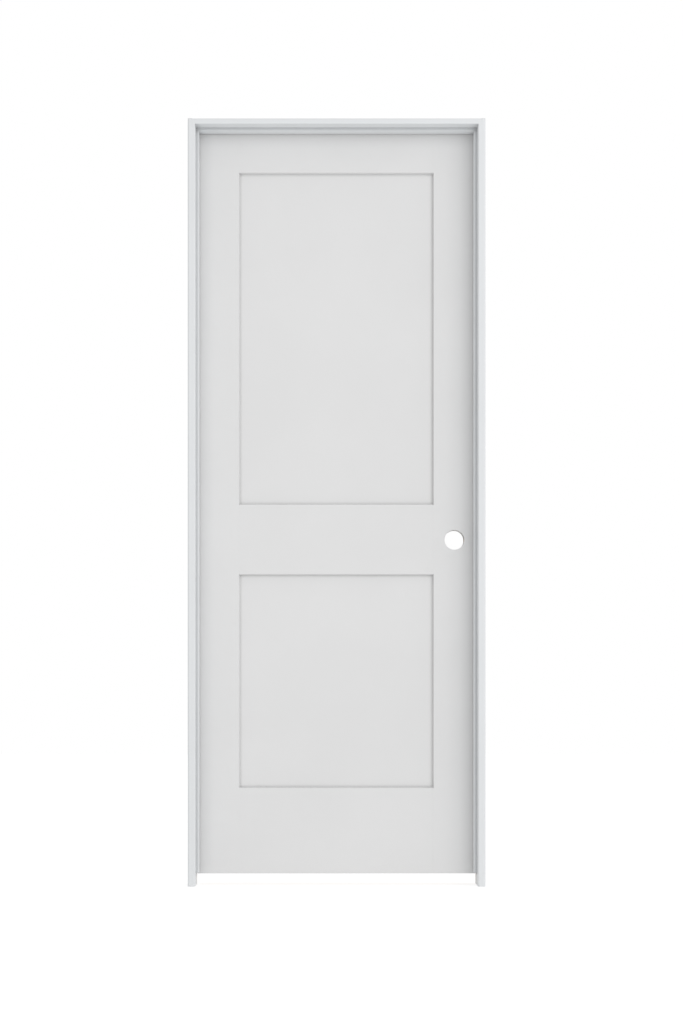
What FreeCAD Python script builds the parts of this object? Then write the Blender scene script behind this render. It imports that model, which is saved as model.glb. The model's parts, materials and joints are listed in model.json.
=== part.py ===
"""Prehung interior door, left-hand: a two-panel shaker leaf on three butt hinges in a flat jamb.

Millimetres. +X runs from the hinge leg to the latch leg, +Y towards the side that the leaf opens
to, +Z up. The origin is on the outer face of the hinge leg, at mid depth, level with its foot.
"""
import FreeCAD, Part
import math
import os
import re

import Sketcher
from FreeCAD import Vector

SIZES = {
    "leaf_width": (762, "leaf, edge to edge"),
    "leaf_height": (2032, "leaf, bottom to top"),
    "leaf_thickness": (35, "stiles and rails, face to face"),
    "hinge_gap": (3, "between the hinge leg and the leaf"),
    "latch_gap": (3, "between the leaf and the latch leg"),
    "head_gap": (6, "between the leaf and the head"),
    "floor_clearance": (30, "from the legs' feet to the leaf"),
    "stop_gap": (2, "between the stops and the leaf"),
    "jamb_thickness": (20, "legs"),
    "head_thickness": (15.5, "head"),
    "jamb_depth": (116, "legs and head, through the wall"),
    "housing_depth": (9.5, "rabbet in each leg that takes the head"),
    "jamb_ease": (1.5, "eased long edges of legs and head, towards the opening"),
    "jamb_back_ease": (3, "eased long edges of legs and head, towards the wall"),
    "stop_thickness": (8.5, "stops, off the jamb"),
    "stop_width": (35, "stops, along the jamb's depth"),
    "stop_ease": (1.5, "eased free edges of the stops"),
    "stop_clearance": (34.5, "from the legs' feet to the upright stops"),
    "stile_width": (116, "both stiles, to the foot of the slope round a panel"),
    "top_rail_height": (110.5, "top rail, to the foot of that slope"),
    "lock_rail_height": (196, "lock rail, from foot to foot of the slopes"),
    "bottom_rail_height": (237, "bottom rail, to the foot of that slope"),
    "lower_panel_height": (582, "opening between the bottom rail and the lock rail"),
    "panel_thickness": (14, "flat panels"),
    "groove_depth": (12, "groove round each panel"),
    "groove_fit": (0.1, "play of a panel or tongue, each side of its groove"),
    "panel_float": (2, "room behind a panel's edge in its groove"),
    "tongue_play": (0.5, "room behind a rail's tongue in the stile"),
    "leaf_ease": (1.5, "eased outer edges of the leaf"),
    "sticking": (2.5, "slope round each panel, across the face"),
    "bore_height": (916, "from the leaf's bottom to the lock bore"),
    "bore_backset": (57, "from the latch edge to the lock bore"),
    "bore_diameter": (54, "lock bore through the latch stile"),
    "latch_bore_diameter": (25.4, "latch bore in the latch edge"),
    "latch_plate_height": (57.2, "mortise for the latch's plate"),
    "latch_plate_width": (25.4, "mortise for the latch's plate"),
    "latch_plate_depth": (3.2, "mortise for the latch's plate"),
    "strike_height": (57.2, "mortise for the strike, in the latch leg"),
    "strike_width": (28.6, "mortise for the strike, in from the far edge"),
    "strike_depth": (1.6, "mortise for the strike"),
    "strike_bore_diameter": (22.2, "bolt hole behind the strike"),
    "strike_bore_depth": (12.7, "bolt hole, from the leg's face"),
    "mortise_corner": (6.35, "rounded corners of both mortises"),
    "hinge_height": (89, "hinge plates and barrels"),
    "hinge_top_drop": (178, "from the leaf's top to the top hinge"),
    "hinge_bottom_rise": (279, "from the leaf's bottom to the bottom hinge"),
    "hinge_width": (29, "each plate, in from the leaf's face"),
    "plate_thickness": (2, "hinge plates"),
    "plate_corner": (6.35, "rounded inner corners of the plates"),
    "gain_clearance": (0.1, "between a plate's outline and its gain"),
    "sink_angle": (82, "countersinks in the hinge plates, in degrees"),
    "pin_offset": (6.5, "from the leaf's face to the pin's centre"),
    "barrel_diameter": (11.2, "hinge knuckles"),
    "knuckle_gap": (0.3, "between one knuckle and the next"),
    "pin_diameter": (6.3, "hinge pins"),
    "pin_clearance": (0.05, "between a pin and its knuckles, each side"),
    "pin_head_diameter": (9.6, "button on the pin's top"),
    "pin_head_height": (2.6, "button on the pin's top"),
    "pin_head_seat": (0.1, "between the button and the top knuckle"),
    "pin_tip": (1.2, "pin below the bottom knuckle"),
    "screw_hole": (4.6, "holes in the hinge plates"),
    "screw_sink": (8.6, "countersinks of those holes"),
    "screw_spread": (31, "outer screws, up and down from the plate's middle"),
    "screw_near": (9, "outer screws, in from the leaf's face"),
    "screw_far": (20, "middle screw, in from the leaf's face"),
}

JAMB_KNUCKLES = 3
DOOR_KNUCKLES = 2

PLACES = {
    "leaf_left": "jamb_thickness + hinge_gap",
    "leaf_right": "leaf_left + leaf_width",
    "inner_right": "leaf_right + latch_gap",
    "unit_width": "inner_right + jamb_thickness",
    "leaf_top": "floor_clearance + leaf_height",
    "head_underside": "leaf_top + head_gap",
    "unit_height": "head_underside + head_thickness",
    "near_edge": "-jamb_depth / 2",
    "far_edge": "jamb_depth / 2",
    "leaf_push": "far_edge - leaf_thickness",
    "leaf_middle": "far_edge - leaf_thickness / 2",
    "stop_back": "leaf_push - stop_gap",
    "stop_front": "stop_back - stop_width",
    "stop_underside": "head_underside - stop_thickness",
    "opening_left": "leaf_left + stile_width",
    "opening_right": "leaf_right - stile_width",
    "opening_width": "leaf_width - 2 * stile_width",
    "lower_opening_bottom": "floor_clearance + bottom_rail_height",
    "lower_opening_top": "lower_opening_bottom + lower_panel_height",
    "upper_opening_bottom": "lower_opening_top + lock_rail_height",
    "upper_opening_top": "leaf_top - top_rail_height",
    "groove_width": "panel_thickness + 2 * groove_fit",
    "groove_front": "leaf_middle - groove_width / 2",
    "groove_back": "leaf_middle + groove_width / 2",
    "panel_front": "leaf_middle - panel_thickness / 2",
    "panel_bite": "groove_depth - panel_float",
    "tongue_length": "groove_depth - tongue_play",
    "bore_level": "floor_clearance + bore_height",
    "pin_x": "jamb_thickness + hinge_gap / 2",
    "pin_y": "far_edge + pin_offset",
    "bottom_hinge_level": "floor_clearance + hinge_bottom_rise + hinge_height / 2",
    "top_hinge_level": "leaf_top - hinge_top_drop - hinge_height / 2",
    "middle_hinge_level": "(bottom_hinge_level + top_hinge_level) / 2",
    "knuckle_pitch": f"(hinge_height + knuckle_gap) / {JAMB_KNUCKLES + DOOR_KNUCKLES}",
    "knuckle_length": "knuckle_pitch - knuckle_gap",
}

HINGES = ("bottom", "middle", "top")
SAME_PLACE = 0.01  # two points closer than this, in millimetres, are one

doc = FreeCAD.newDocument("interior_door")
sheet = doc.addObject("Spreadsheet::Sheet", "Sizes")
for row, (name, (number, note)) in enumerate(SIZES.items(), start=1):
    sheet.set(f"A{row}", name)
    sheet.set(f"B{row}", str(number))
    sheet.setAlias(f"B{row}", name)
    sheet.set(f"C{row}", note)
doc.recompute()


def sized(formula):
    """Write a formula of size and place names out in the cells of the sheet."""
    def cell(word):
        name = word.group()
        return f"({sized(PLACES[name])})" if name in PLACES else f"Sizes.{name}"
    return re.sub(r"[a-z]\w+", cell, formula)


def value(formula):
    """The number that a formula gives with the sizes as they are."""
    return float(sheet.evalExpression(sized(formula)))


def bind(thing, prop, formula):
    """Tie a property of a feature to a formula."""
    thing.setExpression(prop, sized(formula))


def new_body(name, at=None):
    """A body with its own label, set at three formulas where it isn't modelled in place."""
    body = doc.addObject("PartDesign::Body", name)
    body.Label = name
    for axis, formula in zip("xyz", at or ()):
        bind(body, f"Placement.Base.{axis}", formula)
    return body


def new_sketch(body, name, plane, level):
    """A sketch parallel to one of the body's own planes, at a level along that plane's axis."""
    sketch = body.newObject("Sketcher::SketchObject", f"{body.Name}_{name}")
    origin_plane = next(part for part in body.Origin.OriginFeatures if part.Role == plane)
    sketch.AttachmentSupport = [(origin_plane, "")]
    sketch.MapMode = "FlatFace"
    sign = "-" if plane == "XZ_Plane" else ""
    bind(sketch, "AttachmentOffset.Base.z", f"{sign}({level})")
    return sketch


def drive(sketch, kind, formula, *geometry):
    """Add a dimension to a sketch and tie it to a formula."""
    index = sketch.addConstraint(Sketcher.Constraint(kind, *geometry, value(formula)))
    bind(sketch, f"Constraints[{index}]", formula)


def polygon(sketch, corners):
    """A closed outline through corners given as pairs of formulas."""
    points = [Vector(value(across), value(along), 0) for across, along in corners]
    for index, point in enumerate(points):
        sketch.addGeometry(Part.LineSegment(point, points[(index + 1) % len(points)]))
    for index, (across, along) in enumerate(corners):
        last = (index - 1) % len(points)
        sketch.addConstraint(Sketcher.Constraint("Coincident", last, 2, index, 1))
        drive(sketch, "DistanceX", across, -1, 1, index, 1)
        drive(sketch, "DistanceY", along, -1, 1, index, 1)


def rectangle(sketch, left, right, bottom, top):
    """A closed rectangle between four formulas."""
    polygon(sketch, [(left, bottom), (right, bottom), (right, top), (left, top)])


def circle(sketch, across, along, radius):
    """A circle with its centre and radius tied to formulas."""
    centre = Vector(value(across), value(along), 0)
    index = sketch.addGeometry(Part.Circle(centre, Vector(0, 0, 1), value(radius)))
    drive(sketch, "DistanceX", across, -1, 1, index, 3)
    drive(sketch, "DistanceY", along, -1, 1, index, 3)
    drive(sketch, "Radius", radius, index)


def rounded_rectangle(sketch, left, right, bottom, top, corner):
    """A rectangle between four formulas, with four equal round corners."""
    x_low, x_high, y_low, y_high = value(left), value(right), value(bottom), value(top)
    radius = value(corner)
    ends = [
        ((x_low + radius, y_low), (x_high - radius, y_low)),
        ((x_high, y_low + radius), (x_high, y_high - radius)),
        ((x_high - radius, y_high), (x_low + radius, y_high)),
        ((x_low, y_high - radius), (x_low, y_low + radius)),
    ]
    centres = [
        (x_high - radius, y_low + radius),
        (x_high - radius, y_high - radius),
        (x_low + radius, y_high - radius),
        (x_low + radius, y_low + radius),
    ]
    quarter = math.pi / 2
    for start, end in ends:
        sketch.addGeometry(Part.LineSegment(Vector(*start, 0), Vector(*end, 0)))
    for turn, centre in enumerate(centres):
        ring = Part.Circle(Vector(*centre, 0), Vector(0, 0, 1), radius)
        sketch.addGeometry(Part.ArcOfCircle(ring, (turn - 1) * quarter, turn * quarter))
    for side in range(4):
        arc = side + 4
        following = (side + 1) % 4
        sketch.addConstraint(Sketcher.Constraint("Tangent", side, 2, arc, 1))
        sketch.addConstraint(Sketcher.Constraint("Tangent", arc, 2, following, 1))
        level = "Horizontal" if side % 2 == 0 else "Vertical"
        sketch.addConstraint(Sketcher.Constraint(level, side))
        if side:
            sketch.addConstraint(Sketcher.Constraint("Equal", 4, arc))
    drive(sketch, "Radius", corner, 4)
    drive(sketch, "DistanceY", bottom, -1, 1, 0, 1)
    drive(sketch, "DistanceX", right, -1, 1, 1, 1)
    drive(sketch, "DistanceY", top, -1, 1, 2, 1)
    drive(sketch, "DistanceX", left, -1, 1, 3, 1)


def extrude(body, kind, sketch, length, reverse=False):
    """Pad or pocket a sketch by a length."""
    feature = body.newObject(f"PartDesign::{kind}", f"{sketch.Name}_{kind.lower()}")
    feature.Profile = sketch
    feature.Reversed = reverse
    bind(feature, "Length", length)
    sketch.Visibility = False
    return feature


def upwards(body, originals, length, count):
    """Repeat features up the Z axis, evenly over a length."""
    pattern = body.newObject("PartDesign::LinearPattern", f"{body.Name}_row")
    axis = next(part for part in body.Origin.OriginFeatures if part.Role == "Z_Axis")
    pattern.Originals = originals
    pattern.Direction = (axis, [""])
    bind(pattern, "Length", length)
    pattern.Occurrences = count
    body.Tip = pattern


def dress_edges(body, kind, amount, axis, lines):
    """Fillet or chamfer the straight edges along an axis that lie on lines given by two formulas."""
    doc.recompute()
    base = body.Tip
    others = [index for index in range(3) if index != axis]
    places = [tuple(value(formula) for formula in line) for line in lines]
    names = []
    for index, edge in enumerate(base.Shape.Edges, start=1):
        start, end = edge.Vertexes[0].Point, edge.Vertexes[-1].Point
        lengthwise = abs(abs(start[axis] - end[axis]) - edge.Length) < SAME_PLACE
        for place in places:
            near = all(abs(start[other] - spot) < SAME_PLACE and abs(end[other] - spot) < SAME_PLACE
                       for other, spot in zip(others, place))
            if lengthwise and near:
                names.append(f"Edge{index}")
    feature = body.newObject(f"PartDesign::{kind}", f"{body.Name}_{kind.lower()}")
    feature.Base = (base, names)
    bind(feature, "Radius" if kind == "Fillet" else "Size", amount)
    body.Tip = feature


def block(name, x_span, y_span, z_span):
    """A body that is one rectangular board between three pairs of formulas."""
    body = new_body(name)
    section = new_sketch(body, "section", "XY_Plane", z_span[0])
    rectangle(section, *x_span, *y_span)
    extrude(body, "Pad", section, f"({z_span[1]}) - ({z_span[0]})")
    return body


def cut_gains(body, face, into_leaf):
    """Sink three gains for the hinge plates into a face square to X."""
    sketch = new_sketch(body, "gain", "YZ_Plane", face)
    rounded_rectangle(
        sketch,
        "far_edge - hinge_width - gain_clearance",
        "far_edge + 2 * plate_corner",
        "bottom_hinge_level - hinge_height / 2 - gain_clearance",
        "bottom_hinge_level + hinge_height / 2 + gain_clearance",
        "plate_corner",
    )
    gain = extrude(body, "Pocket", sketch, "plate_thickness", reverse=into_leaf)
    upwards(body, [gain], "top_hinge_level - bottom_hinge_level", len(HINGES))


def make_jamb_leg(name, outer, inner, housing):
    """A jamb leg with eased long edges and the rabbet at its top for the head."""
    x_span = (outer, inner) if value(outer) < value(inner) else (inner, outer)
    body = block(name, x_span, ("near_edge", "far_edge"), ("0", "unit_height"))
    for across, ease in ((inner, "jamb_ease"), (outer, "jamb_back_ease")):
        dress_edges(body, "Chamfer", ease, 2, [(across, along) for along in ("near_edge", "far_edge")])
    rabbet = new_sketch(body, "rabbet", "XZ_Plane", "far_edge")
    rectangle(rabbet, *housing, "head_underside", "unit_height")
    extrude(body, "Pocket", rabbet, "jamb_depth", reverse=True)
    return body


def make_jamb():
    """Both legs and the head of the jamb."""
    hinge_leg = make_jamb_leg("hinge_jamb_leg", "0", "jamb_thickness",
                              ("jamb_thickness - housing_depth", "jamb_thickness"))
    cut_gains(hinge_leg, "jamb_thickness", into_leaf=False)

    latch_leg = make_jamb_leg("latch_jamb_leg", "unit_width", "inner_right",
                              ("inner_right", "inner_right + housing_depth"))
    strike = new_sketch(latch_leg, "strike", "YZ_Plane", "inner_right")
    rounded_rectangle(strike, "far_edge - strike_width", "far_edge + 2 * mortise_corner",
                      "bore_level - strike_height / 2", "bore_level + strike_height / 2",
                      "mortise_corner")
    extrude(latch_leg, "Pocket", strike, "strike_depth", reverse=True)
    bolt_hole = new_sketch(latch_leg, "bolt_hole", "YZ_Plane", "inner_right")
    circle(bolt_hole, "leaf_middle", "bore_level", "strike_bore_diameter / 2")
    extrude(latch_leg, "Pocket", bolt_hole, "strike_bore_depth", reverse=True)

    head = block("head_jamb",
                 ("jamb_thickness - housing_depth", "inner_right + housing_depth"),
                 ("near_edge", "far_edge"), ("head_underside", "unit_height"))
    dress_edges(head, "Chamfer", "jamb_back_ease", 0,
                [(along, "unit_height") for along in ("near_edge", "far_edge")])
    for edge, inward in (("near_edge", "+"), ("far_edge", "-")):
        ease = new_sketch(head, f"{edge}_ease", "YZ_Plane", "jamb_thickness")
        polygon(ease, [(edge, "head_underside"), (f"{edge} {inward} jamb_ease", "head_underside"),
                       (edge, "head_underside + jamb_ease")])
        extrude(head, "Pocket", ease, "inner_right - jamb_thickness", reverse=True)
    return [hinge_leg, latch_leg, head]


def make_stops():
    """Three stops on the jamb, which the closed leaf rests against."""
    depth = ("stop_front", "stop_back")
    height = ("stop_clearance", "stop_underside")
    hinge_stop = block("hinge_stop", ("jamb_thickness", "jamb_thickness + stop_thickness"),
                       depth, height)
    dress_edges(hinge_stop, "Chamfer", "stop_ease", 2,
                [("jamb_thickness + stop_thickness", along) for along in depth])
    latch_stop = block("latch_stop", ("inner_right - stop_thickness", "inner_right"), depth, height)
    dress_edges(latch_stop, "Chamfer", "stop_ease", 2,
                [("inner_right - stop_thickness", along) for along in depth])
    head_stop = block("head_stop", ("jamb_thickness", "inner_right"), depth,
                      ("stop_underside", "head_underside"))
    dress_edges(head_stop, "Chamfer", "stop_ease", 0, [(along, "stop_underside") for along in depth])
    return [hinge_stop, latch_stop, head_stop]


def slope_openings(body, openings):
    """Slope both faces down to the panels round the openings that a body borders."""
    tight = ("opening_left", "opening_right")
    wide = ("opening_left - sticking", "opening_right + sticking")
    for name, bottom, top in openings:
        tight_height = (bottom, top)
        wide_height = (f"{bottom} - sticking", f"{top} + sticking")
        near = ("leaf_push", wide, wide_height), ("groove_front", tight, tight_height)
        far = ("groove_back", tight, tight_height), ("far_edge", wide, wide_height)
        for face, (front, back) in (("push", near), ("pull", far)):
            wedge = body.newObject("PartDesign::SubtractiveWedge", f"{body.Name}_{name}_{face}_slope")
            for end, (level, width, height) in (("", front), ("2", back)):
                bind(wedge, "Ymax" if end else "Ymin", level)
                bind(wedge, f"X{end}min", width[0])
                bind(wedge, f"X{end}max", width[1])
                bind(wedge, f"Z{end}min", height[0])
                bind(wedge, f"Z{end}max", height[1])
            body.Tip = wedge


LOWER_OPENING = ("lower", "lower_opening_bottom", "lower_opening_top")
UPPER_OPENING = ("upper", "upper_opening_bottom", "upper_opening_top")


def make_stile(name, outer, inner, groove_end):
    """A full-height stile with a groove down its inner edge."""
    body = new_body(name)
    section = new_sketch(body, "section", "XY_Plane", "floor_clearance")
    polygon(section, [
        (outer, "leaf_push"), (inner, "leaf_push"),
        (inner, "groove_front"), (groove_end, "groove_front"),
        (groove_end, "groove_back"), (inner, "groove_back"),
        (inner, "far_edge"), (outer, "far_edge"),
    ])
    extrude(body, "Pad", section, "leaf_height")
    dress_edges(body, "Chamfer", "leaf_ease", 2, [(outer, "leaf_push"), (outer, "far_edge")])
    slope_openings(body, [LOWER_OPENING, UPPER_OPENING])
    return body


def make_rail(name, bottom, top, groove_below, groove_above, openings):
    """A rail between the stiles, grooved for its panels, with a tongue at each end."""
    body = new_body(name)
    outline = [("leaf_push", bottom)]
    if groove_below:
        roof = f"{bottom} + groove_depth"
        outline += [("groove_front", bottom), ("groove_front", roof),
                    ("groove_back", roof), ("groove_back", bottom)]
    outline += [("far_edge", bottom), ("far_edge", top)]
    if groove_above:
        floor = f"{top} - groove_depth"
        outline += [("groove_back", top), ("groove_back", floor),
                    ("groove_front", floor), ("groove_front", top)]
    outline += [("leaf_push", top)]
    section = new_sketch(body, "section", "YZ_Plane", "opening_left")
    polygon(section, outline)
    extrude(body, "Pad", section, "opening_width")
    tongue = new_sketch(body, "tongue", "XZ_Plane", "panel_front")
    rectangle(tongue, "opening_left - tongue_length", "opening_right + tongue_length",
              f"{bottom} + groove_depth" if groove_below else bottom,
              f"{top} - groove_depth" if groove_above else top)
    extrude(body, "Pad", tongue, "panel_thickness", reverse=True)
    slope_openings(body, openings)
    return body


def make_panel(name, bottom, top):
    """A flat panel whose edges sit in the grooves round its opening."""
    return block(name, ("opening_left - panel_bite", "opening_right + panel_bite"),
                 ("panel_front", "panel_front + panel_thickness"),
                 (f"{bottom} - panel_bite", f"{top} + panel_bite"))


def make_leaf():
    """Stiles, rails and panels of the leaf, with the bores for the lock."""
    hinge_stile = make_stile("hinge_stile", "leaf_left", "opening_left", "opening_left - groove_depth")
    cut_gains(hinge_stile, "leaf_left", into_leaf=True)

    latch_stile = make_stile("latch_stile", "leaf_right", "opening_right",
                             "opening_right + groove_depth")
    lock_bore = new_sketch(latch_stile, "lock_bore", "XZ_Plane", "leaf_push")
    circle(lock_bore, "leaf_right - bore_backset", "bore_level", "bore_diameter / 2")
    extrude(latch_stile, "Pocket", lock_bore, "leaf_thickness")
    latch_bore = new_sketch(latch_stile, "latch_bore", "YZ_Plane", "leaf_right")
    circle(latch_bore, "leaf_middle", "bore_level", "latch_bore_diameter / 2")
    extrude(latch_stile, "Pocket", latch_bore, "bore_backset")
    mortise = new_sketch(latch_stile, "mortise", "YZ_Plane", "leaf_right")
    rounded_rectangle(mortise,
                      "leaf_middle - latch_plate_width / 2", "leaf_middle + latch_plate_width / 2",
                      "bore_level - latch_plate_height / 2", "bore_level + latch_plate_height / 2",
                      "mortise_corner")
    extrude(latch_stile, "Pocket", mortise, "latch_plate_depth")

    top_rail = make_rail("top_rail", "upper_opening_top", "leaf_top", True, False, [UPPER_OPENING])
    lock_rail = make_rail("lock_rail", "lower_opening_top", "upper_opening_bottom", True, True,
                          [LOWER_OPENING, UPPER_OPENING])
    bottom_rail = make_rail("bottom_rail", "floor_clearance", "lower_opening_bottom", False, True,
                            [LOWER_OPENING])
    upper_panel = make_panel("upper_panel", "upper_opening_bottom", "upper_opening_top")
    lower_panel = make_panel("lower_panel", "lower_opening_bottom", "lower_opening_top")
    return [hinge_stile, latch_stile, top_rail, lock_rail, bottom_rail, upper_panel, lower_panel]


def make_hinge_plate(name, level, side, first_knuckle, knuckles):
    """One half of a butt hinge, about its pin: a plate, its knuckles and countersunk holes.

    side is -1 for the plate on the jamb and 1 for the plate on the leaf.
    """
    body = new_body(name, at=("pin_x", "pin_y", level))
    face = f"{side} * hinge_gap / 2"
    back = f"{side} * (hinge_gap / 2 + plate_thickness)"
    low, high = (back, face) if side < 0 else (face, back)

    plate = new_sketch(body, "plate", "YZ_Plane", low)
    rectangle(plate, "-pin_offset - hinge_width", "-pin_offset", "-hinge_height / 2", "hinge_height / 2")
    extrude(body, "Pad", plate, "plate_thickness")
    dress_edges(body, "Fillet", "plate_corner", 0,
                [("-pin_offset - hinge_width", "-hinge_height / 2"),
                 ("-pin_offset - hinge_width", "hinge_height / 2")])

    floor = f"{first_knuckle} * knuckle_pitch - hinge_height / 2"
    strap = new_sketch(body, "strap", "XY_Plane", floor)
    rectangle(strap, low, high, "-pin_offset", "0")
    strap_pad = extrude(body, "Pad", strap, "knuckle_length")
    barrel = new_sketch(body, "barrel", "XY_Plane", floor)
    circle(barrel, "0", "0", "barrel_diameter / 2")
    barrel_pad = extrude(body, "Pad", barrel, "knuckle_length")
    upwards(body, [strap_pad, barrel_pad], f"{2 * (knuckles - 1)} * knuckle_pitch", knuckles)

    bore = new_sketch(body, "bore", "XY_Plane", "-hinge_height / 2")
    circle(bore, "0", "0", "pin_diameter / 2 + pin_clearance")
    extrude(body, "Pocket", bore, "hinge_height", reverse=True)

    centres = new_sketch(body, "centres", "YZ_Plane", face)
    for along, up in (("-pin_offset - screw_near", "-screw_spread"),
                      ("-pin_offset - screw_far", "0"),
                      ("-pin_offset - screw_near", "screw_spread")):
        circle(centres, along, up, "screw_hole / 2")
    doc.recompute()
    hole = body.newObject("PartDesign::Hole", f"{name}_holes")
    hole.Profile = centres
    hole.Reversed = side > 0
    hole.DepthType = "ThroughAll"
    hole.HoleCutType = "Countersink"
    hole.HoleCutCustomValues = True
    bind(hole, "Diameter", "screw_hole")
    bind(hole, "HoleCutDiameter", "screw_sink")
    bind(hole, "HoleCutCountersinkAngle", "sink_angle")
    body.Tip = hole
    return body


def make_hinge_pin(name, level):
    """A pin with a button head, turned about its own axis."""
    body = new_body(name, at=("pin_x", "pin_y", level))
    section = new_sketch(body, "section", "XZ_Plane", "0")
    radius = "pin_diameter / 2"
    seat = "hinge_height / 2 + pin_head_seat"
    tip = "-hinge_height / 2 - pin_tip"
    crown = f"{seat} + pin_head_height"
    polygon(section, [
        ("0", tip), (radius, tip), (radius, seat),
        ("pin_head_diameter / 2", seat), ("pin_head_diameter / 2", crown), ("0", crown),
    ])
    turned = body.newObject("PartDesign::Revolution", f"{name}_turned")
    turned.Profile = section
    turned.ReferenceAxis = (section, ["V_Axis"])
    turned.Angle = 360
    body.Tip = turned
    return body


def make_hinges():
    """Three butt hinges, each with five knuckles: three on the jamb's plate and two on the leaf's."""
    bodies = []
    for place in HINGES:
        level = f"{place}_hinge_level"
        bodies += [
            make_hinge_plate(f"{place}_hinge_jamb_plate", level, -1, 0, JAMB_KNUCKLES),
            make_hinge_plate(f"{place}_hinge_door_plate", level, 1, 1, DOOR_KNUCKLES),
            make_hinge_pin(f"{place}_hinge_pin", level),
        ]
    return bodies


def check_and_write(bodies):
    """Stop on anything that failed, then write one file for each body."""
    doc.recompute()
    for item in doc.Objects:
        if {"Invalid", "Error"} & set(item.State):
            raise RuntimeError(f"{item.Name} failed: {item.State}")
        base = getattr(item, "BaseFeature", None)
        cuts = item.TypeId in ("PartDesign::Pocket", "PartDesign::Hole", "PartDesign::SubtractiveWedge")
        if cuts and base and item.Shape.Volume >= base.Shape.Volume:
            raise RuntimeError(f"{item.Name} cuts nothing")
    os.makedirs("parts", exist_ok=True)
    for body in bodies:
        shape = body.Shape
        if shape.isNull() or not shape.isValid() or len(shape.Solids) != 1:
            raise RuntimeError(f"{body.Label} is not one sound solid")
        shape.exportStep(f"parts/{body.Label}.step")
        box = shape.BoundBox
        print(f"{body.Label:28s} {shape.Volume / 1e3:10.2f} cm3  "
              f"X {box.XMin:8.2f} {box.XMax:8.2f}  Y {box.YMin:7.2f} {box.YMax:7.2f}  "
              f"Z {box.ZMin:8.2f} {box.ZMax:8.2f}")


check_and_write(make_jamb() + make_stops() + make_leaf() + make_hinges())
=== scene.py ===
"""Looks of the prehung two-panel door: primed wood, bare ends, satin hinges and their screws."""

import json
import math

import bmesh
import bpy
from mathutils import Matrix, Vector


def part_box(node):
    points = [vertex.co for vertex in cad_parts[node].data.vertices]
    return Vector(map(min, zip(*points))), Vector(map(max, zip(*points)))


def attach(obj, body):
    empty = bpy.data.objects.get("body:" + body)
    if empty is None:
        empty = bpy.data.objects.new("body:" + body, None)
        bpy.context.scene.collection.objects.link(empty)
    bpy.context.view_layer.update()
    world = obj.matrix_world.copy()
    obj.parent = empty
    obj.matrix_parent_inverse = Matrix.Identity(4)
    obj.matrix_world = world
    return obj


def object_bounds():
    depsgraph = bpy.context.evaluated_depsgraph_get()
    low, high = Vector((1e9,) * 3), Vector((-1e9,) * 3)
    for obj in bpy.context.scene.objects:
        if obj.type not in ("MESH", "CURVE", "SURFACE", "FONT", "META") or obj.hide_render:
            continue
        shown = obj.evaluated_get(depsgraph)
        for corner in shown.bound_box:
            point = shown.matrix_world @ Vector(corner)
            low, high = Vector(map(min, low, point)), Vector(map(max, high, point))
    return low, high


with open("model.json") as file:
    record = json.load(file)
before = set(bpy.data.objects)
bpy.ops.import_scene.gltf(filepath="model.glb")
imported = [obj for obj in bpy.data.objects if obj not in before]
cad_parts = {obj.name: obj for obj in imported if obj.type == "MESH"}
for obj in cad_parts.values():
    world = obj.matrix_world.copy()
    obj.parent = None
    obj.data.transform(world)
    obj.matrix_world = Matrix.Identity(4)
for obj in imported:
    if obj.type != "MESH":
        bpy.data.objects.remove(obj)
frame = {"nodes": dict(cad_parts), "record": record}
cad_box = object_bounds()
nodes = frame["nodes"]
mounts = {mount["name"]: mount for mount in frame["record"]["mounts"]}

MM = 0.001
HINGES = ("bottom", "middle", "top")
ALONG_X, ALONG_Y, ALONG_Z = range(3)
WHITE = (1.0, 1.0, 1.0, 1.0)

# The photograph's frame and where the object stands in it, in pixels
PHOTO_WIDTH = 683
PHOTO_HEIGHT = 1024
AXIS_COLUMN = 310.35
AXIS_ROW = 700.3
LEFT_COLUMN = 187.7
FOOT_ROW = 886.7

# Camera
PIXEL = 2.711 * MM          # one pixel at the jamb's near edges
DISTANCE = 6.2              # from the lens to the jamb's near edges
SENSOR = 36.0
VIEW_END = 100.0

# Sky: its light on the object, how much that rises to the right, and its strength to the eye
WORLD_LIGHT = 0.84
WORLD_TILT = 0.27
WORLD_SEEN = 1.0

# Key lamp, in degrees right of the photograph's view and above it, and in metres
KEY_TURN = 32.0
KEY_RISE = 14.0
KEY_DISTANCE = 5.0
KEY_SIZE = 3.0
KEY_STRENGTH = 0.13

# Floor: the glow that the eye sees is more than the one that lights the object
FLOOR_SIZE = 30.0
FLOOR_GLOW = 0.72
FLOOR_BOUNCE = 0.48
FLOOR_COLOR = (0.40, 0.40, 0.40, 1.0)
FLOOR_ROUGHNESS = 0.9

# Paint, as linear colours, and its relief
LEAF_PAINT = (0.80, 0.80, 0.80)
JAMB_PAINT = (0.805, 0.822, 0.835)
PAINT_TONES = (0.99, 1.01)
PAINT_ROUGHNESS = (0.56, 0.64)
PAINT_SHINE = 0.2
PAINT_EDGE = 0.7 * MM       # radius to which the paint rounds an edge
FIBRE_HEIGHT = 0.07 * MM
STIPPLE_HEIGHT = 0.08 * MM
PANEL_GRAIN = 0.2           # share of the fibres' height on the panels, which are fibreboard

# Painted shade in tight inner corners: how far the darkening of the colour reaches out of a corner,
# and the share of colour left in it
TRIM_PAINTED_SHADE = (18 * MM, 0.5)
LEAF_PAINTED_SHADE = (42 * MM, 0.76)
PANEL_PAINTED_SHADE = (9 * MM, 0.5)
PAINTED_SHADE_SAMPLES = 6
FOOT_CLEAR = 16.5 * MM      # the jamb has no such shade up to here, because the floor is no corner

# Bare pine, and the thin spray inside the lock bore
PINE_PALE = (0.62, 0.44, 0.25)
PINE_DARK = (0.42, 0.25, 0.12)
PORE_TONE = 0.7
PORE_SHARE = 0.35
BARE_ROUGHNESS = 0.78
DUSTED_PALE = (0.60, 0.59, 0.57)
DUSTED_DARK = (0.49, 0.48, 0.46)

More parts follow.
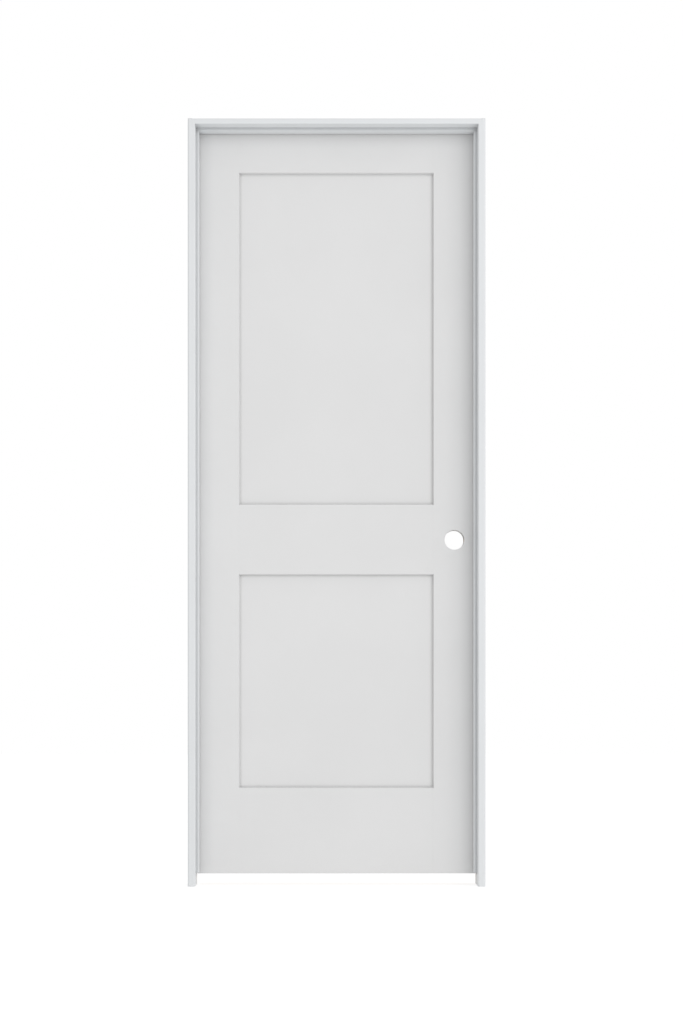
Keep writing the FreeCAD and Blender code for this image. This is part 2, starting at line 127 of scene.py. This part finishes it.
# Satin nickel
NICKEL_PALE = (0.56, 0.55, 0.53)
NICKEL_DARK = (0.50, 0.488, 0.465)
NICKEL_ROUGHNESS = (0.26, 0.42)
NICKEL_EDGE = 0.25 * MM
STREAK_HEIGHT = 0.008 * MM
TURNED_TONE = 1.03
SCREW_TONE = 0.97

# Grain of the materials: noise cells to a metre, and a stretch that draws them out along an axis
PAINT_CLOUDS = 3.5
SHEEN_CLOUDS = 40.0
FIBRES = 620.0
FIBRE_STRETCH = 0.03
STIPPLE = 520.0
RINGS_ACROSS = 60.0
RINGS_ALONG = 1.6
PORES = 1400.0
STREAKS = 5200.0
STREAK_STRETCH = 0.02
NICKEL_CLOUDS = 120.0
BEVEL_SAMPLES = 4

# Noise values between which a look goes from its first state to its second
NARROW_SPREAD = (0.35, 0.65)
WIDE_SPREAD = (0.3, 0.7)
PORE_SPREAD = (0.45, 0.75)

# Zones of bare wood: cut ends, and the mortises round the latch bore and behind the strike
END_SKIN = 0.05 * MM        # half the thickness of an end's zone
END_MARGIN = 5 * MM
MORTISE_HALF_HEIGHT = 29.5 * MM
LATCH_HALF_WIDTH = 13.5 * MM
STRIKE_HALF_WIDTH = 14 * MM
STRIKE_REACH = 13.5 * MM
PAINT_SKIN = 0.2 * MM       # how far a zone stays below a painted face or passes a bore's wall
LATCH_SKIN = 0.3 * MM

# Zones where the painted corner shade is off: past the object's box, and behind the stops' backs
CLEAR_MARGIN = 10 * MM
STOP_SKIN = 0.1 * MM

# Screws in the hinge plates' own holes
SCREW_HEAD = 8.3 * MM
SCREW_SINK_ANGLE = math.radians(82)
SCREW_HEAD_DEPTH = 1.9 * MM
SCREW_SHANK = 3.6 * MM
SCREW_LENGTH = 16 * MM
SCREW_BELOW = 0.08 * MM     # how far a head lies below its plate's face
SCREW_SPREAD = 31 * MM      # from the middle screw up or down to an outer one
SCREW_NEAR = 9 * MM         # from the leaf's far face in to the outer screws
SCREW_FAR = 20 * MM         # from the leaf's far face in to the middle screw
SCREW_SEGMENTS = 32

# Turn of a screw's recess, in degrees: for each screw, for each hinge, and on the leaf's side
SPIN_SCREW = 37
SPIN_HINGE = 61
SPIN_LEAF = 23

# A screw's point and thread, whose radii are shares of the shank's
POINT_RADIUS = 0.5 * MM
POINT_LENGTH = 2 * MM
THREAD_START = 4 * MM       # from the screw's point
THREAD_END = 3 * MM         # below its head
THREAD_PITCH = 1.6 * MM
THREAD_ROOT = 0.74
THREAD_CREST = 1.05
CREST_PLACE = 0.55          # where the crest lies in a pitch

# A screw's neck and collar, each a share of the shank's radius and a depth below the head
NECK = (0.9, 1.5 * MM)
COLLAR = (0.95, 0.3 * MM)

# The head's edge, as steps in from its radius and heights, and its slight crown
HEAD_EDGE = ((0.15 * MM, -0.2 * MM), (0.0, -0.1 * MM), (0.12 * MM, 0.0))
HEAD_CROWN = 0.02 * MM

# Cross recess, with its height and its shares of wing and width at its cutter's two ends
RECESS_WING = 2.15 * MM
RECESS_WIDTH = 0.95 * MM
RECESS_TOP = (0.3 * MM, 1.06, 1.1)
RECESS_FLOOR = (-1.5 * MM, 0.30, 0.45)

# Low crowns on the pins' ends
CROWN_RISE = 0.9 * MM
CROWN_STEPS = 6
CROWN_SUNK = 0.05 * MM
BUTTON_SEGMENTS = 40
NOSE_RADIUS = 3.1 * MM
NOSE_SEGMENTS = 32

SMOOTH_ANGLE = math.radians(35)


def add(tree, kind, **settings):
    """A node of a kind, with its attributes or inputs set by name."""
    node = tree.nodes.new(kind)
    for name, value in settings.items():
        if hasattr(node, name):
            setattr(node, name, value)
        else:
            node.inputs[name].default_value = value
    return node


def math_node(tree, operation, first, second):
    """The result of an operation on two values, each a socket or a number."""
    node = add(tree, "ShaderNodeMath", operation=operation)
    for index, value in enumerate((first, second)):
        if isinstance(value, bpy.types.NodeSocket):
            tree.links.new(value, node.inputs[index])
        else:
            node.inputs[index].default_value = value
    return node.outputs[0]


def vector_node(tree, operation, first, second=None):
    """The result of an operation on one or two vectors, each a socket or three numbers."""
    node = add(tree, "ShaderNodeVectorMath", operation=operation)
    for index, value in enumerate((first, second)):
        if isinstance(value, bpy.types.NodeSocket):
            tree.links.new(value, node.inputs[index])
        elif value is not None:
            node.inputs[index].default_value = value
    return node.outputs[0]


def parts_of(tree, vector):
    """A vector's three values."""
    node = add(tree, "ShaderNodeSeparateXYZ")
    tree.links.new(vector, node.inputs[0])
    return node.outputs


def place(tree):
    """The piece's own coordinates, in metres of the row frame at rest."""
    return add(tree, "ShaderNodeTexCoord").outputs["Object"]


def stretch(tree, vector, axis, along, across=1.0):
    """Coordinates scaled along an axis and across it."""
    scale = [across] * 3
    scale[axis] = along
    return vector_node(tree, "MULTIPLY", vector, tuple(scale))


def noise(tree, vector, scale, detail=3.0, roughness=0.5, distortion=0.0):
    """A noise value over a vector."""
    node = add(tree, "ShaderNodeTexNoise", Scale=scale, Detail=detail, Roughness=roughness,
               Distortion=distortion)
    tree.links.new(vector, node.inputs["Vector"])
    return node.outputs["Fac"]


def remap(tree, value, spread, result=(0.0, 1.0)):
    """A value moved from one range to another, and kept within it."""
    node = add(tree, "ShaderNodeMapRange")
    for name, number in zip(("From Min", "From Max", "To Min", "To Max"), (*spread, *result)):
        node.inputs[name].default_value = number
    tree.links.new(value, node.inputs["Value"])
    return node.outputs["Result"]


def bump(tree, height, distance, normal):
    """A normal with a bump over it, whose full height is a distance in metres."""
    node = add(tree, "ShaderNodeBump", Strength=1.0, Distance=distance)
    tree.links.new(height, node.inputs["Height"])
    tree.links.new(normal, node.inputs["Normal"])
    return node.outputs["Normal"]


def rounded(tree, radius):
    """A normal that rounds the piece's edges."""
    return add(tree, "ShaderNodeBevel", samples=BEVEL_SAMPLES, Radius=radius).outputs["Normal"]


def mix_colors(tree, factor, first, second):
    """Two colours mixed by a value, each a socket or three numbers."""
    node = add(tree, "ShaderNodeMix", data_type="RGBA")
    sockets = {socket.identifier: socket for socket in node.inputs}
    for name, color in (("A_Color", first), ("B_Color", second)):
        if isinstance(color, bpy.types.NodeSocket):
            tree.links.new(color, sockets[name])
        else:
            sockets[name].default_value = (*color, 1.0)
    tree.links.new(factor, sockets["Factor_Float"])
    return next(socket for socket in node.outputs if socket.identifier == "Result_Color")


def scaled(color, factor):
    """A colour made paler or darker."""
    return tuple(channel * factor for channel in color)


def in_box(tree, vector, low, high):
    """1 inside a box between two corners, 0 outside."""
    centre = (Vector(low) + Vector(high)) / 2
    half = (Vector(high) - Vector(low)) / 2
    offset = vector_node(tree, "ABSOLUTE", vector_node(tree, "SUBTRACT", vector, tuple(centre)))
    share = parts_of(tree, vector_node(tree, "DIVIDE", offset, tuple(half)))
    most = math_node(tree, "MAXIMUM", share[0], share[1])
    most = math_node(tree, "MAXIMUM", most, share[2])
    return math_node(tree, "LESS_THAN", most, 1.0)


def in_boxes(tree, vector, boxes):
    """1 inside any of some boxes, 0 outside them all."""
    inside = in_box(tree, vector, *boxes[0])
    for low, high in boxes[1:]:
        inside = math_node(tree, "MAXIMUM", inside, in_box(tree, vector, low, high))
    return inside


def new_material(name):
    """A material, its node tree and its shader."""
    material = bpy.data.materials.new(name)
    material.use_nodes = True
    tree = material.node_tree
    return material, tree, tree.nodes["Principled BSDF"]


def pine_color(tree, vector, grain_axis):
    """The colour of bare pine whose grain runs along an axis."""
    rings = noise(tree, stretch(tree, vector, grain_axis, RINGS_ALONG, RINGS_ACROSS), 1.0,
                  detail=4.0, roughness=0.6, distortion=0.8)
    pores = noise(tree, vector, PORES, detail=2.0)
    color = mix_colors(tree, remap(tree, rings, NARROW_SPREAD), PINE_PALE, PINE_DARK)
    return mix_colors(tree, remap(tree, pores, PORE_SPREAD, (0.0, PORE_SHARE)), color,
                      scaled(PINE_DARK, PORE_TONE))


def painted_corner_shade(tree, vector, corner, clear):
    """Painted shade: the share of colour left near tight inner corners, found by ambient occlusion,
    but all of it inside the clear boxes.
    """
    reach, left_over = corner
    opened = add(tree, "ShaderNodeAmbientOcclusion", samples=PAINTED_SHADE_SAMPLES,
                 Distance=reach).outputs["AO"]
    if clear:
        opened = math_node(tree, "MAXIMUM", opened, in_boxes(tree, vector, clear))
    left = remap(tree, opened, (0.0, 1.0), (left_over, 1.0))
    shade = add(tree, "ShaderNodeCombineXYZ")
    for channel in shade.inputs:
        tree.links.new(left, channel)
    return shade.outputs[0]


def paint_material(name, paint, grain_axis, corner, bare=(), dusted=(), clear=(), grain=1.0):
    """Sprayed primer on wood or fibreboard, with bare wood and a bore's wall inside boxes.

    The primer has a fine stipple, the grain lifts it faintly, and its sheen varies a little.
    Its colour has painted shade: it darkens by ambient occlusion in tight inner corners, but not
    inside the clear boxes, and it only dusts a bore's wall.
    """
    material, tree, shader = new_material(name)
    vector = place(tree)
    cloud = noise(tree, vector, PAINT_CLOUDS)
    sheen = noise(tree, vector, SHEEN_CLOUDS)
    fibres = noise(tree, stretch(tree, vector, grain_axis, FIBRE_STRETCH), FIBRES)
    stipple = noise(tree, vector, STIPPLE, detail=2.0, roughness=0.6)

    dark, pale = (scaled(paint, tone) for tone in PAINT_TONES)
    color = mix_colors(tree, remap(tree, cloud, NARROW_SPREAD), dark, pale)
    # painted shade: the colour is darkened where ambient occlusion finds tight inner corners
    color = vector_node(tree, "MULTIPLY", color, painted_corner_shade(tree, vector, corner, clear))
    roughness = remap(tree, sheen, WIDE_SPREAD, PAINT_ROUGHNESS)
    if dusted:
        dust = mix_colors(tree, remap(tree, fibres, NARROW_SPREAD), DUSTED_DARK, DUSTED_PALE)
        color = mix_colors(tree, in_boxes(tree, vector, dusted), color, dust)
    if bare:
        zone = in_boxes(tree, vector, bare)
        color = mix_colors(tree, zone, color, pine_color(tree, vector, grain_axis))
        rise = math_node(tree, "SUBTRACT", BARE_ROUGHNESS, roughness)
        rise = math_node(tree, "MULTIPLY", zone, rise)
        roughness = math_node(tree, "ADD", roughness, rise)

    relief = bump(tree, fibres, FIBRE_HEIGHT * grain, rounded(tree, PAINT_EDGE))
    relief = bump(tree, stipple, STIPPLE_HEIGHT, relief)
    shader.inputs["Specular IOR Level"].default_value = PAINT_SHINE
    tree.links.new(color, shader.inputs["Base Color"])
    tree.links.new(roughness, shader.inputs["Roughness"])
    tree.links.new(relief, shader.inputs["Normal"])
    return material


def nickel_material(name, streak_axis, tone=1.0):
    """Satin nickel plate, brushed along an axis."""
    material, tree, shader = new_material(name)
    vector = place(tree)
    streaks = noise(tree, stretch(tree, vector, streak_axis, STREAK_STRETCH), STREAKS, detail=2.0)
    cloud = noise(tree, vector, NICKEL_CLOUDS, detail=4.0)
    color = mix_colors(tree, remap(tree, cloud, WIDE_SPREAD),
                       scaled(NICKEL_DARK, tone), scaled(NICKEL_PALE, tone))
    roughness = remap(tree, streaks, WIDE_SPREAD, NICKEL_ROUGHNESS)
    relief = bump(tree, streaks, STREAK_HEIGHT, rounded(tree, NICKEL_EDGE))
    shader.inputs["Metallic"].default_value = 1.0
    tree.links.new(color, shader.inputs["Base Color"])
    tree.links.new(roughness, shader.inputs["Roughness"])
    tree.links.new(relief, shader.inputs["Normal"])
    return material


def dress(node, material):
    """Give a node of the frame a material in every slot."""
    mesh = nodes[node].data
    if not mesh.materials:
        mesh.materials.append(material)
    for index in range(len(mesh.materials)):
        mesh.materials[index] = material


def cut_ends(low, high):
    """Thin zones at the foot and the top of a box, which take in its flat ends."""
    margin = Vector((END_MARGIN, END_MARGIN, END_SKIN))
    return [(Vector((low.x, low.y, level)) - margin, Vector((high.x, high.y, level)) + margin)
            for level in (low.z, high.z)]


def latch_zones():
    """Zones of the lock bore's wall, the latch bore with its mortise, and the strike's mortise."""
    stile_low, stile_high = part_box("latch_stile")
    leg_low, leg_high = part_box("latch_jamb_leg")
    bore = Vector(mounts["lock_bore"]["pos_m"])
    radius = mounts["lock_bore"]["dims"]["r_mm"] * MM
    strike_y = mounts["strike_bore"]["pos_m"][1]
    low_z, high_z = bore.z - MORTISE_HALF_HEIGHT, bore.z + MORTISE_HALF_HEIGHT
    around = radius + PAINT_SKIN
    wall = ((bore.x - around, stile_low.y + PAINT_SKIN, bore.z - around),
            (bore.x + around, stile_high.y - PAINT_SKIN, bore.z + around))
    latch = ((bore.x + radius + LATCH_SKIN, bore.y - LATCH_HALF_WIDTH, low_z),
             (stile_high.x - LATCH_SKIN, bore.y + LATCH_HALF_WIDTH, high_z))
    strike = ((leg_low.x + PAINT_SKIN, strike_y - STRIKE_HALF_WIDTH, low_z),
              (leg_low.x + STRIKE_REACH, leg_high.y - PAINT_SKIN, high_z))
    return wall, latch, strike


def clear_zones():
    """Zones of the jamb's feet, and of the leaf's seat from the stops' backs to the far edges."""
    low, high = cad_box
    low = low - Vector((CLEAR_MARGIN,) * 3)
    high = high + Vector((CLEAR_MARGIN,) * 3)
    seat_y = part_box("hinge_stop")[1].y - STOP_SKIN
    return [(low, (high.x, high.y, FOOT_CLEAR)), ((low.x, seat_y, low.z), high)]


def paint_wood():
    """Paint for every wooden piece, with its cut ends and the latch's mortises bare."""
    jamb_ends = cut_ends(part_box("hinge_jamb_leg")[0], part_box("latch_jamb_leg")[1])
    leaf_ends = cut_ends(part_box("hinge_stile")[0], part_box("latch_stile")[1])
    bore_wall, latch_recess, strike_recess = latch_zones()
    clear = clear_zones()

    hinge_leg = paint_material("paint_hinge_leg", JAMB_PAINT, ALONG_Z, TRIM_PAINTED_SHADE,
                               bare=jamb_ends, clear=clear)
    latch_leg = paint_material("paint_latch_leg", JAMB_PAINT, ALONG_Z, TRIM_PAINTED_SHADE,
                               bare=[*jamb_ends, strike_recess], clear=clear)
    upright_stop = paint_material("paint_upright_stop", JAMB_PAINT, ALONG_Z, TRIM_PAINTED_SHADE,
                                  clear=clear)
    level_trim = paint_material("paint_level_trim", JAMB_PAINT, ALONG_X, TRIM_PAINTED_SHADE, clear=clear)
    hinge_stile = paint_material("paint_hinge_stile", LEAF_PAINT, ALONG_Z, LEAF_PAINTED_SHADE,
                                 bare=leaf_ends)
    latch_stile = paint_material("paint_latch_stile", LEAF_PAINT, ALONG_Z, LEAF_PAINTED_SHADE,
                                 bare=[*leaf_ends, latch_recess], dusted=[bore_wall])
    rail = paint_material("paint_rail", LEAF_PAINT, ALONG_X, LEAF_PAINTED_SHADE, bare=leaf_ends)
    panel = paint_material("paint_panel", LEAF_PAINT, ALONG_Z, PANEL_PAINTED_SHADE, grain=PANEL_GRAIN)
    for node, material in {
        "hinge_jamb_leg": hinge_leg, "latch_jamb_leg": latch_leg,
        "head_jamb": level_trim, "head_stop": level_trim,
        "hinge_stop": upright_stop, "latch_stop": upright_stop,
        "hinge_stile": hinge_stile, "latch_stile": latch_stile,
        "top_rail": rail, "lock_rail": rail, "bottom_rail": rail,
        "upper_panel": panel, "lower_panel": panel,
    }.items():
        dress(node, material)


def lathe(mesh, profile, segments, transform):
    """Add a closed turned form to a mesh: profile points are (radius, height) from end to end."""
    rings = []
    for radius, height in profile:
        if radius == 0:
            rings.append([mesh.verts.new(transform @ Vector((0, 0, height)))])
            continue
        ring = []
        for index in range(segments):
            turn = 2 * math.pi * index / segments
            point = Vector((radius * math.cos(turn), radius * math.sin(turn), height))
            ring.append(mesh.verts.new(transform @ point))
        rings.append(ring)
    for lower, upper in zip(rings, rings[1:]):
        for index in range(segments):
            following = (index + 1) % segments
            corners = [lower[index % len(lower)], lower[following % len(lower)],
                       upper[following % len(upper)], upper[index % len(upper)]]
            mesh.faces.new(list(dict.fromkeys(corners)))


def to_object(mesh, name):
    """Turn a bmesh into an object of the scene."""
    data = bpy.data.meshes.new(name)
    mesh.to_mesh(data)
    mesh.free()
    piece = bpy.data.objects.new(name, data)
    bpy.context.scene.collection.objects.link(piece)
    return piece


def to_solid(mesh, name):
    """Turn a closed bmesh into an object of the scene, with its faces turned outwards."""
    bmesh.ops.recalc_face_normals(mesh, faces=mesh.faces)
    return to_object(mesh, name)


def add_hardware(mesh, name, material, body):
    """Turn a bmesh into a piece of the hinges that rides on a body."""
    piece = to_solid(mesh, name)
    piece.data.materials.append(material)
    piece.data.shade_smooth()
    piece.data.set_sharp_from_angle(angle=SMOOTH_ANGLE)
    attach(piece, body)


def recess_cutter():
    """A tapered cross that cuts the recess of a screw's head."""
    mesh = bmesh.new()
    wing, half = RECESS_WING, RECESS_WIDTH / 2
    outline = [(-wing, -half), (wing, -half), (wing, half), (-wing, half)]
    for turn in (0, math.pi / 2):
        rings = []
        for height, wing_share, width_share in (RECESS_TOP, RECESS_FLOOR):
            ring = []
            for across, along in outline:
                point = Vector((across * wing_share, along * width_share, height))
                ring.append(mesh.verts.new(Matrix.Rotation(turn, 3, "Z") @ point))
            rings.append(ring)
        upper, lower = rings
        mesh.faces.new(upper)
        mesh.faces.new(list(reversed(lower)))
        for index in range(4):
            following = (index + 1) % 4
            mesh.faces.new([lower[index], lower[following], upper[following], upper[index]])
    return to_solid(mesh, "cutter")


def screw_profile():
    """Radii and heights of a flat-head wood screw from its point up, with its head's rim at 0."""
    head, shank = SCREW_HEAD / 2, SCREW_SHANK / 2
    throat = head - SCREW_HEAD_DEPTH * math.tan(SCREW_SINK_ANGLE / 2)
    profile = [(0, -SCREW_LENGTH), (POINT_RADIUS, -SCREW_LENGTH + POINT_LENGTH)]
    level = -SCREW_LENGTH + THREAD_START
    while level < -SCREW_HEAD_DEPTH - THREAD_END:
        profile += [(shank * THREAD_ROOT, level),
                    (shank * THREAD_CREST, level + CREST_PLACE * THREAD_PITCH)]
        level += THREAD_PITCH
    profile += [(shank * share, -SCREW_HEAD_DEPTH - depth) for share, depth in (NECK, COLLAR)]
    profile.append((throat, -SCREW_HEAD_DEPTH))
    profile += [(head - inset, height) for inset, height in HEAD_EDGE]
    return [*profile, (0, HEAD_CROWN)]


def screw_mesh():
    """One wood screw with a cross recess, its head's rim at the origin and its shank down -Z."""
    mesh = bmesh.new()
    lathe(mesh, screw_profile(), SCREW_SEGMENTS, Matrix.Identity(4))
    screw = to_solid(mesh, "screw")
    cutter = recess_cutter()
    recess = screw.modifiers.new("recess", "BOOLEAN")
    recess.operation = "DIFFERENCE"
    recess.solver = "EXACT"
    recess.use_self = True
    recess.object = cutter
    depsgraph = bpy.context.evaluated_depsgraph_get()
    cut = bpy.data.meshes.new_from_object(screw.evaluated_get(depsgraph))
    bpy.data.objects.remove(screw)
    bpy.data.objects.remove(cutter)
    return cut


def make_screws(metal):
    """Three screws in each hinge plate, each with its recess at an angle of its own."""
    screw = screw_mesh()
    face_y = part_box("hinge_stile")[1].y
    sides = {"jamb": ("frame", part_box("hinge_jamb_leg")[1].x, -1, 0),
             "door": ("leaf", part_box("hinge_stile")[0].x, 1, SPIN_LEAF)}
    places = [(SCREW_NEAR, -SCREW_SPREAD), (SCREW_FAR, 0), (SCREW_NEAR, SCREW_SPREAD)]
    for order, hinge in enumerate(HINGES):
        for side, (body, face_x, inward, spin_side) in sides.items():
            low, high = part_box(f"{hinge}_hinge_{side}_plate")
            middle = (low.z + high.z) / 2
            mesh = bmesh.new()
            for number, (depth, rise) in enumerate(places):
                spin = math.radians(SPIN_SCREW * number + SPIN_HINGE * order + spin_side)
                turn = Matrix.Rotation(math.pi / 2 * -inward, 4, "Y") @ Matrix.Rotation(spin, 4, "Z")
                spot = Vector((face_x + inward * SCREW_BELOW, face_y - depth, middle + rise))
                start = len(mesh.verts)
                mesh.from_mesh(screw)
                mesh.verts.ensure_lookup_table()
                bmesh.ops.transform(mesh, matrix=Matrix.Translation(spot) @ turn,
                                    verts=mesh.verts[start:])
            add_hardware(mesh, f"{hinge}_hinge_{side}_screws", metal, body)


def crown(radius, rise):
    """The profile of a low crown, from a little inside the end that it sits on to its middle."""
    sunk = math.copysign(CROWN_SUNK, -rise)
    angles = [step * math.pi / 2 / CROWN_STEPS for step in range(CROWN_STEPS)]
    dome = [(radius * math.cos(angle), rise * math.sin(angle)) for angle in angles]
    return [(0, sunk), (radius, sunk), *dome, (0, rise)]


def make_pin_crowns(metal):
    """A low dome on each pin's button and a rounded nose on its tip."""
    for hinge in HINGES:
        low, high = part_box(f"{hinge}_hinge_pin")
        centre = (low + high) / 2
        mesh = bmesh.new()
        lathe(mesh, crown((high.x - low.x) / 2, CROWN_RISE), BUTTON_SEGMENTS,
              Matrix.Translation((centre.x, centre.y, high.z)))
        lathe(mesh, crown(NOSE_RADIUS, -CROWN_RISE), NOSE_SEGMENTS,
              Matrix.Translation((centre.x, centre.y, low.z)))
        add_hardware(mesh, f"{hinge}_hinge_pin_crowns", metal, "frame")


def plate_hinges():
    """Metal on the hinges, and the small pieces that finish them."""
    plate = nickel_material("satin_nickel_plate", ALONG_Z)
    turned = nickel_material("satin_nickel_turned", ALONG_X, tone=TURNED_TONE)
    screw = nickel_material("satin_nickel_screw", ALONG_Y, tone=SCREW_TONE)
    for hinge in HINGES:
        dress(f"{hinge}_hinge_jamb_plate", plate)
        dress(f"{hinge}_hinge_door_plate", plate)
        dress(f"{hinge}_hinge_pin", turned)
    make_screws(screw)
    make_pin_crowns(turned)


def seen_directly(tree):
    """1 for rays from the camera, from a mirror or through glass."""
    path = add(tree, "ShaderNodeLightPath").outputs
    seen = math_node(tree, "MAXIMUM", path["Is Camera Ray"], path["Is Glossy Ray"])
    return math_node(tree, "MAXIMUM", seen, path["Is Transmission Ray"])


def make_world():
    """White behind the object, and a plain pale sky that lights it, brighter on the right."""
    world = bpy.data.worlds.new("studio")
    bpy.context.scene.world = world
    world.use_nodes = True
    tree = world.node_tree
    background = tree.nodes["Background"]
    background.inputs["Color"].default_value = WHITE
    rightward = parts_of(tree, add(tree, "ShaderNodeTexCoord").outputs["Generated"])[0]
    sky = remap(tree, rightward, (-1.0, 1.0),
                (WORLD_LIGHT - WORLD_TILT, WORLD_LIGHT + WORLD_TILT))
    seen = seen_directly(tree)
    lit = math_node(tree, "MULTIPLY", sky, math_node(tree, "SUBTRACT", 1.0, seen))
    strength = math_node(tree, "ADD", lit, math_node(tree, "MULTIPLY", seen, WORLD_SEEN))
    tree.links.new(strength, background.inputs["Strength"])


def make_floor():
    """A plain white floor that takes the object's shadow."""
    mesh = bmesh.new()
    bmesh.ops.create_grid(mesh, x_segments=1, y_segments=1, size=FLOOR_SIZE / 2)
    floor = to_object(mesh, "floor")
    material, tree, shader = new_material("floor")
    shader.inputs["Base Color"].default_value = FLOOR_COLOR
    shader.inputs["Roughness"].default_value = FLOOR_ROUGHNESS
    shader.inputs["Specular IOR Level"].default_value = 0.0
    shader.inputs["Emission Color"].default_value = WHITE
    glow = remap(tree, seen_directly(tree), (0.0, 1.0), (FLOOR_BOUNCE, FLOOR_GLOW))
    tree.links.new(glow, shader.inputs["Emission Strength"])
    floor.data.materials.append(material)


def area_light(name, location, target, size, strength):
    """A square soft light that adds strength times a surface's colour at its target, face on."""
    light = bpy.data.lights.new(name, "AREA")
    light.shape = "SQUARE"
    light.size = size
    away = Vector(location) - Vector(target)
    light.energy = strength * (math.pi * away.length) ** 2
    lamp = bpy.data.objects.new(name, light)
    bpy.context.scene.collection.objects.link(lamp)
    lamp.location = location
    lamp.rotation_mode = "QUATERNION"
    lamp.rotation_quaternion = away.to_track_quat("Z", "Y")


def make_lights():
    """A broad soft key from the front, a little to the right and above."""
    low, high = cad_box
    centre = (low + high) / 2
    turn, rise = math.radians(KEY_TURN), math.radians(KEY_RISE)
    heading = Vector((math.sin(turn) * math.cos(rise), -math.cos(turn) * math.cos(rise),
                      math.sin(rise)))
    area_light("key", centre + heading * KEY_DISTANCE, centre, KEY_SIZE, KEY_STRENGTH)


def make_camera():
    """The photograph's level view, its axis below and left of the frame's centre."""
    low = cad_box[0]
    camera = bpy.data.cameras.new("camera")
    camera.sensor_width = SENSOR
    camera.lens = DISTANCE / PIXEL / PHOTO_HEIGHT * SENSOR
    camera.shift_x = (PHOTO_WIDTH / 2 - AXIS_COLUMN) / PHOTO_HEIGHT
    camera.shift_y = (AXIS_ROW - PHOTO_HEIGHT / 2) / PHOTO_HEIGHT
    camera.clip_end = VIEW_END
    holder = bpy.data.objects.new("camera", camera)
    bpy.context.scene.collection.objects.link(holder)
    holder.location = (low.x + (AXIS_COLUMN - LEFT_COLUMN) * PIXEL, low.y - DISTANCE,
                       low.z + (FOOT_ROW - AXIS_ROW) * PIXEL)
    holder.rotation_euler = (math.pi / 2, 0, 0)
    bpy.context.scene.camera = holder


make_camera()
make_world()
make_floor()
make_lights()
paint_wood()
plate_hinges()
bpy.context.scene.view_settings.view_transform = "Standard"
